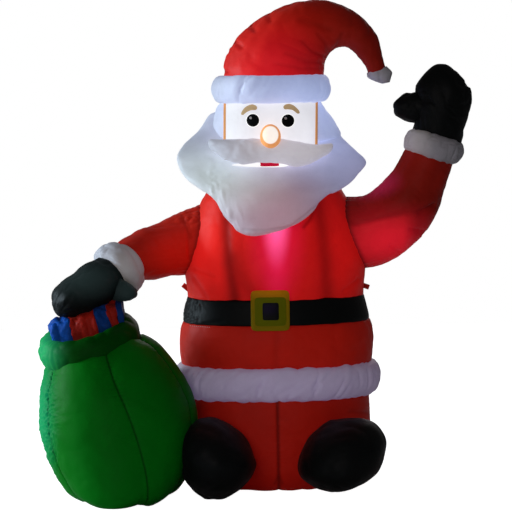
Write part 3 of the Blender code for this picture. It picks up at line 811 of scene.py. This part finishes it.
# The jacket's two long folds with a shallow one between, one beside the beard, and small ones at the sides,
# darkened by painted shade
JACKET_FOLDS = [
    Crease([(-97, 590), (-99, 548), (-95, 470), (-84, 398)], 13, 0.006, 0.7),
    Crease([(-84, 480), (-62, 430), (-42, 396)], 16, 0.002, 0.30),
    Crease([(90, 590), (98, 540), (104, 470), (106, 396)], 15, 0.007, 0.5),
    Crease([(84, 580), (74, 556), (60, 541)], 4, 0.006, 0.5),
    Crease([(-133, 470), (-128, 420)], 12, 0.002, 0.12),
    Crease([(-164, 455), (-125, 443)], 4, 0.004, 0.08),
    Crease([(-168, 436), (-140, 398)], 4, 0.005, 0.1),
    Crease([(139, 408), (170, 428)], 4, 0.005, 0.1),
]
SKIRT_FOLDS = [
    Crease([(2, 336), (0, 300), (-1, 250)], 7, 0.003, 0.14),
    Crease([(-60, 262), (70, 256)], 5, 0.001, 0.12),
]
# The gusset at the foot of the trousers' front seam, and a fold at their right side, darkened by painted
# shade
TROUSER_FOLDS = [
    Crease([(-8, 20), (-1, 36), (7, 20)], 3, 0.002, 0.4),
    Crease([(150, 160), (190, 150)], 5, 0.004, 0.2),
]
# The fold under the waving elbow's light, and the scallops down the sleeve's outer edge, darkened by painted
# shade
WAVING_FOLDS = [
    Crease([(164, 540), (228, 558), (281, 560), (330, 578)], 4, 0.005, 0.12),
    Crease([(330, 574), (300, 560)], 5, 0.014, 0.1),
    Crease([(306, 520), (280, 527)], 5, 0.016, 0.1),
    Crease([(256, 480), (240, 492)], 5, 0.010, 0.1),
]
FINGER_NOTCH = Crease([(412, 832), (392, 826), (380, 830)], 5, 0.016, 0.3)
BEARD_HEM = Crease([(-63, 541), (-20, 540), (33, 545), (76, 579), (115, 608)], 2.6, 0.003, 0.22)

# Prints of the face, seen from the front: middles of the eyes, sizes, and outlines
EYES = [("left_eye", -40, 759), ("right_eye", 31, 757)]
EYE_RADIUS = 12.8
EYE_HALO_RADIUS = 14.6
GLINT_RADIUS = 2.6
GLINT_SHIFT = (-4.5, 5)
BROWS = [
    ("left_brow", [(-64, 773), (-56, 785), (-43, 791), (-34, 789), (-31, 784), (-34, 780), (-45, 779),
                   (-55, 774), (-60, 770)]),
    ("right_brow", [(22, 784), (25, 789), (34, 791), (44, 787), (53, 778), (55, 772), (50, 771), (41, 778),
                    (31, 780), (25, 780)]),
]
MOUTH_GAP = [(-84, 669), (-60, 673), (-20, 675), (20, 675), (41, 670), (20, 664), (-20, 664), (-60, 666)]
MOUTH = [(-26, 670), (-25, 674), (-8, 675), (10, 674), (11, 670), (10, 666), (-8, 665.5), (-25, 666)]
PIPINGS = [("left_piping", -96, -98), ("right_piping", 89.5, 87)]      # x at the top and at the foot
PIPING_RADIUS = 4.0 * MIL
PIPING_LOW, PIPING_HIGH = 700, 798
NOSE_STRETCH = (1.08, 1.4, 1.3)
NOSE_SHIFT = (0, 6, 1)

# Pads sewn on the belt: left, low, right and high edges; the stitches below it
BUCKLE = (-51, 333, 28, 415)
BUCKLE_BACKING = (-43, 343, 21, 401)
BUCKLE_CENTRE = (-27, 355, 6, 390)
STITCH_COUNT = 10
FIRST_STITCH = -176
STITCH_PITCH = 4.4


def make_body():
    """Trousers, hem, skirt, belt and jacket, one on the other."""
    low, high = BODY_LEVELS["trousers"]
    rings = 80
    sections = [flat_pole(low)]
    sections += [body_section(low + FOOT_ROUND * run, FOOT_ROUND * (size - 1)) for run, size in ARC]
    sections += [body_section(low + FOOT_ROUND + (high - low - FOOT_ROUND) * ring / rings, 0.0)
                 for ring in range(rings + 1)]
    sections.append(flat_pole(high))
    envelope("trousers", sections, "red_cloth", sides=220, power=BODY_SQUARE, seams=[(90,), (270,)],
             seam_width=0.0035, creases=TROUSER_FOLDS, lamp=lamps(TROUSER_LAMP),
             reliefs=[crinkles(0.10, 0.0016), seam_pinch(0.003, 0.003, pucker=0.0006),
                      end_gathers(0.0, 1.0, seed=4.0)])
    hem_wrinkles = [wrinkles(38, 0.030, 0.0035, seed=2.0), end_gathers(0.6, 1.0, depth=0.002, seed=1.0)]
    belt_wrinkles = [end_gathers(pitch=0.03, depth=0.0012),
                     wrinkles(-38, 0.020, 0.004, near=((-178, -60, 372), (46, 200, 60)), seed=3.0)]
    chest = lamps(CHEST_LAMP, CHEST_BAND, CHEST_LOW, CHEST_SPREAD, SHOULDER_LEFT, SHOULDER_RIGHT)
    for name, puff, slot, reliefs, creases, lamp, air in (
            ("hem_trim", TRIM_PUFF, "white_cloth", hem_wrinkles, [], lamps(HEM_LAMP), Air(0.07, 0.007)),
            ("coat_skirt", 4 * MIL, "red_cloth", [crinkles(0.10, 0.002), end_gathers(seed=2.0)], SKIRT_FOLDS,
             lamps(SKIRT_LAMP), None),
            ("belt", 3 * MIL, "black_cloth", belt_wrinkles, BELT_FOLDS, None, None),
            ("jacket", 0.0, "red_cloth", [crinkles(0.10, 0.002), end_gathers(1.0, 0.0, seed=6.0)],
             JACKET_FOLDS, chest, None)):
        low, high = BODY_LEVELS[name]
        rings = max(24, round((high - low) / 0.006))
        sections = [flat_pole(low)]
        for ring in range(rings + 1):
            share = ring / rings
            sections.append(body_section(low + (high - low) * share,
                                         puff * math.sqrt(math.sin(math.pi * share))))
        sections.append(flat_pole(high))
        envelope(name, sections, slot, sides=480 if air else 320, power=BODY_SQUARE, reliefs=reliefs,
                 creases=creases, lamp=lamp, air=air)


def make_hat():
    sections = [flat_pole(BAND_LOW)]
    rings = 30
    for ring in range(rings + 1):
        share = ring / rings
        left, right, forward, depth = (value * MIL for value in HAT_BAND)
        grow = HAT_BAND_PUFF * math.sqrt(math.sin(math.pi * share)) + 4 * MIL
        centre = Vector(((left + right) / 2, -forward, BAND_LOW + (BAND_HIGH - BAND_LOW) * share))
        across = Vector(((right - left) / 2 + grow, 0, 0))
        sections.append((centre, across, Vector((0, -depth - grow, 0))))
    sections.append(flat_pole(BAND_HIGH))
    envelope("hat_band", sections, "white_cloth", sides=360,
             reliefs=[end_gathers(depth=0.004, seed=8.0), wrinkles(25, 0.035, 0.002, seed=5.0)],
             shades=[side_shade(0.16, -85, -110)], lamp=lamps(HEAD_LAMP), air=Air(0.07, 0.006))
    envelope("hat", rows_of(HAT, 150), "red_cloth", sides=180, seams=[(0,), (180,)],
             reliefs=[crinkles(0.11, 0.003), end_gathers(1.0, 0.2, depth=0.004),
                      seam_pinch(0.004, 0.006, pucker=0.0008, pitch=0.030, reach=0.02),
                      wrinkles(-58, 0.045, 0.006, length=4.0, near=((30, -100, 880), (110, 300, 55)),
                               seed=2.0)],
             creases=HAT_CREASES, shades=[side_shade(0.35, 130, 190)], lamp=lamps(HAT_LAMP, HAT_TOP))
    envelope("hat_tip", rows_of(HAT_TIP, 20), "white_cloth", sides=64,
             reliefs=[end_gathers(1.0, 0.0, depth=0.002, reach=0.010)],
             creases=[Crease([(218, 858), (222, 829)], 3, 0.003, 0.25)])


def make_head():
    head = envelope("head", rows_of(HEAD, 40), "face_cloth", power=2.5, lamp=lamps(FACE_LAMP))
    envelope("hair", rows_of(HAIR, 40, start_round=0.8), "white_cloth",
             reliefs=[crinkles(0.06, 0.002)], lamp=lamps(HEAD_LAMP, HAIR_RIGHT))
    envelope("moustache", rows_of(MOUSTACHE, 90, 0.4, 0.4), "white_cloth", sides=80,
             reliefs=[crinkles(0.05, 0.0015)], lamp=lamps(MOUSTACHE_LAMP))
    beard = envelope("beard", rows_of(BEARD, 110, 0.8, 0.5), "white_cloth", sides=200, creases=[BEARD_HEM],
                     reliefs=[crinkles(0.12, 0.0016),
                              wrinkles(-12, 0.018, 0.003, near=((-118, -150, 628), (50, 300, 80)), seed=1.0),
                              wrinkles(-15, 0.018, 0.003, near=((-88, -150, 560), (34, 300, 50)), seed=4.0)],
                     lamp=lamps(HEAD_LAMP, CHIN_LIGHT, BEARD_RIGHT, BEARD_LAMP))
    skin = front_of(head)
    for name, x, z in EYES:
        printed_patch(name + "_halo", oval(x, z, EYE_HALO_RADIUS, EYE_HALO_RADIUS, 48), skin, "face_cloth",
                      lift=0.0006, lamp=even_light(x, z, "#FFFFFF", 0.95))
        printed_patch(name, oval(x, z, EYE_RADIUS, EYE_RADIUS, 48), skin, "black_cloth", EYE_INK, lift=0.0014)
        glint = oval(x + GLINT_SHIFT[0], z + GLINT_SHIFT[1], GLINT_RADIUS, GLINT_RADIUS, 24)
        printed_patch(name + "_glint", glint, skin, "white_cloth", THREAD_WHITE, lift=0.0030)
    for name, corners in BROWS:
        printed_patch(name, smooth_outline(corners, 48), skin, "nose_cloth", BROW_INK,
                      lamp=even_light(0, 780, "#A88C68", 0.75))
    for name, x_top, x_low in PIPINGS:
        points = [skin((x_low + (x_top - x_low) * i / 20) * MIL,
                       (PIPING_LOW + (PIPING_HIGH - PIPING_LOW) * i / 20) * MIL) for i in range(21)]
        welt(name, points, PIPING_RADIUS, "nose_cloth", even_light(0, 760, "#E0A068", 0.45))
    chin = front_of(beard)
    printed_patch("mouth_gap", smooth_outline(MOUTH_GAP, 64), chin, "face_cloth",
                  lamp=even_light(0, 668, "#FFFFFF", 0.9))
    printed_patch("mouth", smooth_outline(MOUTH, 48), chin, "red_cloth", MOUTH_INK, lift=0.0024,
                  lamp=even_light(0, 668, "#D01038", 0.4))
    make_nose()


def make_nose():
    """Egg-shaped pad, lit through in its middle."""
    low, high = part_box("nose")
    radius = (high.x - low.x) / 2
    middle = Vector(((low.x + high.x) / 2, low.y + radius, (low.z + high.z) / 2))
    rim, white = Vector(linear("#E0945A")[:3]), Vector((0.86, 0.85, 0.82))

    def nose_light(place):
        """White where the lamp shines through, tan round the edge and in a crescent below."""
        away = math.hypot((place.x - middle.x) / (0.82 * radius),
                          (place.z - middle.z - 0.16 * radius) / (0.90 * radius))
        share = max(0.0, min(1.0, (away - 0.94) / 0.12))
        return white + (rim * 0.75 - white) * share

    bm = bmesh.new()
    bmesh.ops.create_uvsphere(bm, u_segments=96, v_segments=96, radius=radius)
    bmesh.ops.rotate(bm, verts=bm.verts, matrix=Matrix.Rotation(math.pi / 2, 3, "X"))
    bmesh.ops.scale(bm, verts=bm.verts, vec=NOSE_STRETCH)
    bmesh.ops.translate(bm, verts=bm.verts, vec=middle - Vector(NOSE_SHIFT) * MIL)
    flat_uv(bm)
    finish_piece("nose", bm, "nose_cloth", node="nose", lamp=nose_light)


def make_waving_arm():
    def elbow_shadow(spot):
        """The light stops at a fold that runs out from the armhole, and comes back towards the cuff."""
        x, z = spot.place.x / MIL, spot.place.z / MIL
        above = max(0.0, z - 534 - 0.2 * (x - 164))
        past = math.hypot(above, max(0.0, 0.35 * (x - 264)))
        return 0.5 * min(1.0, past / 10) * (1 - 0.5 * min(1.0, above / 110))

    envelope("waving_sleeve", rows_of(WAVING_SLEEVE, 130), "red_cloth", sides=180, seams=[(0,), (180,)],
             reliefs=[end_gathers(0.0, 1.0, pitch=0.03, depth=0.002), crinkles(0.09, 0.0025),
                      armhole_pleats(0.002, 36, 7.0),
                      seam_pinch(0.004, 0.006, pucker=0.0008, pitch=0.045, reach=0.02, seed=5.0),
                      wrinkles(4, 0.013, 0.006, near=((195, -90, 606), (90, 90, 42)), seed=6.0)],
             creases=WAVING_FOLDS, shades=[armhole_shade(0.75), elbow_shadow],
             lamp=lamps(SLEEVE_GLOW, SLEEVE_BLUSH))
    envelope("waving_cuff", rows_of(WAVING_CUFF, 24, 0.5, 0.5), "white_cloth", sides=200,
             reliefs=[end_gathers(depth=0.003), wrinkles(20, 0.035, 0.0025, seed=1.0)],
             shades=[side_shade(0.4, 290, 350)], lamp=lamps(CUFF_PALE), air=Air(0.06, 0.006))
    envelope("waving_mitten", rows_of(WAVING_MITTEN, 60, 0.0, 1.2), "black_cloth", sides=160,
             reliefs=[crinkles(0.09, 0.003),
                      wrinkles(-20, 0.02, 0.004, near=((300, -40, 750), (35, 200, 40)))],
             creases=[FINGER_NOTCH], air=Air(0.05, 0.004))
    envelope("waving_thumb", rows_of(WAVING_THUMB, 30, 0.0, 0.9), "black_cloth", sides=80,
             reliefs=[crinkles(0.05, 0.003, seed=2.0)], node="waving_mitten")


def make_resting_arm():
    envelope("resting_sleeve", rows_of(RESTING_SLEEVE, 110, square=True), "red_cloth", sides=180,
             reliefs=[end_gathers(0.0, 1.0, pitch=0.03, depth=0.002), crinkles(0.09, 0.0025),
                      armhole_pleats(0.0012, 30, 9.0),
                      wrinkles(-50, 0.026, 0.006, length=3.0, near=((-172, -60, 566), (50, 200, 50)),
                               seed=6.0)],
             creases=[Crease([(-188, 560), (-178, 530), (-175, 480)], 4, 0.004, 0.15)],
             shades=[armhole_shade(0.6)], lamp=lamps(RESTING_GLOW))
    envelope("resting_cuff", rows_of(RESTING_CUFF, 24, 0.5, 0.5, square=True), "white_cloth", sides=200,
             reliefs=[end_gathers(depth=0.003), wrinkles(-40, 0.035, 0.003, seed=3.0)], air=Air(0.04, 0.004),
             lamp=lamps(CUFF_WARM))
    envelope("resting_mitten", rows_of(RESTING_MITTEN, 60, 0.0, 1.2, square=True), "black_cloth", sides=160,
             reliefs=[crinkles(0.09, 0.003),
                      wrinkles(35, 0.02, 0.005, length=6.0, near=((-425, -170, 400), (60, 200, 45)))],
             air=Air(0.05, 0.004), lamp=lamps(MITTEN_SHEEN))
    envelope("resting_thumb", rows_of(RESTING_THUMB, 30, 0.0, 0.9), "black_cloth", sides=80,
             reliefs=[crinkles(0.05, 0.003, seed=2.0)], lamp=lamps(THUMB_SHEEN), node="resting_mitten")


def make_boots():
    for name, keys, seed in (("left_boot", LEFT_BOOT, 0.0), ("right_boot", RIGHT_BOOT, 4.0)):
        envelope(name, rows_of(keys, 80), "black_cloth", sides=160,
                 reliefs=[crinkles(0.14, 0.003, seed=seed)])


def make_sack():
    """The sack with its gores, its collar, and the parcels in it."""
    def bulge(spot):
        over = gore_at(spot.turn, SACK_SEAMS, spot.along / (spot.along + spot.left))[0]
        return GORE_DEPTH * (math.sin(math.pi * over) - 1)

    envelope("sack", rows_of(SACK, 190), "green_cloth", sides=240, seams=SACK_SEAMS, seam_width=0.004,
             reliefs=[bulge, crinkles(0.10, 0.0015), seam_pinch(0.003, 0.004, pucker=0.0012, pitch=0.014),
                      wrinkles(70, 0.014, 0.005, length=2.0, near=((-462, -200, 160), (34, 260, 220)),
                               seed=4.0)],
             lamp=lamps(SACK_EDGE_HIGHLIGHT))
    make_collar()
    for i, (name, start, end, slot, dim) in enumerate(PARCEL_SLICES):
        envelope(name, rows_of(PARCELS, 30, start=start, end=end), slot, sides=140, power=3.0,
                 reliefs=[crinkles(0.06, 0.004, seed=i * 3.0), wrinkles(-20, 0.03, 0.004, seed=i * 2.0)],
                 shades=[lambda spot, dim=dim: dim, parcel_gap])


def parcel_gap(spot):
    """Shadow between the ribbon's two bands."""
    return 0.3 if PARCEL_GAP[0] < spot.place.x / MIL < PARCEL_GAP[1] else 0.0


def make_collar():
    """Rolled mouth of the sack: pleated on the left, where its ends are sewn together, and smooth and in the
    arm's shadow further right."""
    bm = bmesh.new()
    tube = COLLAR_TUBE / 2
    bmesh.ops.create_circle(bm, segments=64, radius=tube)
    bmesh.ops.rotate(bm, verts=bm.verts, matrix=Matrix.Rotation(math.pi / 2, 3, "X"))
    bmesh.ops.translate(bm, verts=bm.verts, vec=(COLLAR_HALF_WIDTH - tube, 0, 0))
    bmesh.ops.spin(bm, geom=bm.verts[:] + bm.edges[:], cent=(0, 0, 0), axis=(0, 0, 1), angle=math.tau,
                   steps=260, use_merge=True)
    for vertex in bm.verts:
        vertex.co.y *= COLLAR_HALF_DEPTH / COLLAR_HALF_WIDTH
        vertex.co.z *= COLLAR_STRETCH
    bmesh.ops.recalc_face_normals(bm, faces=bm.faces)
    bm.normal_update()
    dark = []
    for vertex in bm.verts:
        turn = math.atan2(vertex.co.y, vertex.co.x)
        ring = Vector((math.cos(turn), math.sin(turn), 0)) * 2.5
        roll = vertex.co.z / tube
        smooth = max(0.0, min(1.0, (vertex.co.x / COLLAR_HALF_WIDTH + 0.85) / 0.45))
        pleats = (1 - smooth) * billow(Vector((turn * 7.0, 1.1 * roll, 0.0)))
        # Painted shade: a little over the whole collar, and the arm's shadow, which grows towards the right
        dark.append(0.1 + 0.68 * smooth)
        vertex.co += vertex.normal * (0.003 * billow(ring + Vector((0, 0, roll))) + 0.004 * pleats - 0.001)
    x, height, forward = (value * MIL for value in COLLAR_PLACE)
    bm.transform(Matrix.Translation((x, -forward, height)) @ Matrix.Rotation(COLLAR_TILT, 4, "X")
                 @ Matrix.Rotation(-COLLAR_LEAN, 4, "Y"))
    flat_uv(bm)
    finish_piece("sack_collar", bm, "green_cloth", dark, node="sack_collar", lamp=lamps(COLLAR_EDGE_HIGHLIGHT))


def make_trims():
    """The buckle, three flat pads sewn on the belt; the stitches under the belt; the tether loops."""
    chest_light = lamps(((-11, -150, 415), (90, 120, 30), "#FF6E00", 0.15))
    pad = printed_patch("buckle", square_outline(*BUCKLE), body_front(5 * MIL), "yellow_cloth",
                        lift=0.003, thick=0.008, rings=24, lamp=chest_light, node="buckle")
    backing = printed_patch("buckle_backing", square_outline(*BUCKLE_BACKING), front_of(pad), "yellow_cloth",
                            OLIVE_CLOTH, lift=0.0004, thick=0.0012, rings=24)
    printed_patch("buckle_centre", square_outline(*BUCKLE_CENTRE), front_of(backing), "black_cloth",
                  lift=0.0004, thick=0.0015, rings=24, node="buckle_centre",
                  lamp=lamps(((-16, -150, 378), (30, 100, 20), "#6A30C0", 0.012)))
    skirt = front_of(bpy.data.objects["coat_skirt_cloth"])
    below_belt = BODY_LEVELS["belt"][0] / MIL - 3
    for i in range(STITCH_COUNT):
        printed_patch(f"belt_stitch_{i + 1}", oval(FIRST_STITCH + STITCH_PITCH * i, below_belt, 1.3, 0.6, 12),
                      skirt, "white_cloth", THREAD_WHITE, rings=6)
    for name in ("left_tether_loop", "right_tether_loop"):
        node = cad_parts[name]
        node.data.materials.clear()
        node.data.materials.append(CLOTHS["red_cloth"])


def make_stage():
    """Pale floor and a soft white surround."""
    bm = bmesh.new()
    bmesh.ops.create_grid(bm, x_segments=1, y_segments=1, size=6.0)
    mesh = bpy.data.meshes.new("floor")
    bm.to_mesh(mesh)
    bm.free()
    floor = new_object("floor", mesh)
    floor.location.z = -0.001
    material = bpy.data.materials.new("matt white floor")
    material.use_nodes = True
    tree = material.node_tree
    shader = tree.nodes["Principled BSDF"]
    shader.inputs["Base Color"].default_value = (0.85, 0.85, 0.85, 1.0)
    shader.inputs["Roughness"].default_value = 0.9
    shader.inputs["Specular IOR Level"].default_value = 0.0
    shader.inputs["Emission Color"].default_value = (1.0, 1.0, 1.0, 1.0)
    path = add_node(tree, "ShaderNodeLightPath")
    tree.links.new(path.outputs["Is Camera Ray"], shader.inputs["Emission Strength"])
    mesh.materials.append(material)

    world = bpy.data.worlds.new("white surround")
    bpy.context.scene.world = world
    world.use_nodes = True
    tree = world.node_tree
    path = add_node(tree, "ShaderNodeLightPath")
    tree.links.new(ranged(tree, path.outputs["Is Camera Ray"], 0.07, 1.0),
                   tree.nodes["Background"].inputs["Strength"])
    tree.nodes["Background"].inputs["Color"].default_value = (1.0, 1.0, 1.0, 1.0)


def add_light(name, place, aim, size, power, colour):
    data = bpy.data.lights.new(name, "AREA")
    data.shape = "DISK"
    data.size = size
    data.energy = power
    data.color = linear(colour)[:3]
    light = new_object(name, data)
    light.location = place
    light.rotation_euler = (Vector(aim) - Vector(place)).to_track_quat("-Z", "Y").to_euler()


def make_camera():
    data = bpy.data.cameras.new("camera")
    data.sensor_width = 36.0
    data.lens = CAMERA_LENS
    data.clip_end = 100.0
    camera = new_object("camera", data)
    camera.location = CAMERA_PLACE
    look = (CAMERA_AIM - CAMERA_PLACE).to_track_quat("-Z", "Y")
    camera.rotation_euler = (look.to_matrix() @ Matrix.Rotation(CAMERA_ROLL, 3, "Z")).to_euler()
    bpy.context.scene.camera = camera


make_camera()
bpy.context.scene.view_settings.view_transform = "Standard"
make_body()
make_hat()
make_head()
make_waving_arm()
make_resting_arm()
make_boots()
make_sack()
make_trims()
make_stage()
add_light("window light", (-6.0, 0.5, 1.9), (0, 0, 0.9), 2.4, 310.0, "#DCF2FF")
add_light("room light", (-2.0, -8.0, 2.6), (0, 0, 0.9), 4.0, 70.0, "#FFF4F6")
add_light("back light", (1.5, 8.0, 3.0), (0, 0, 0.9), 4.0, 70.0, "#FFF4F6")
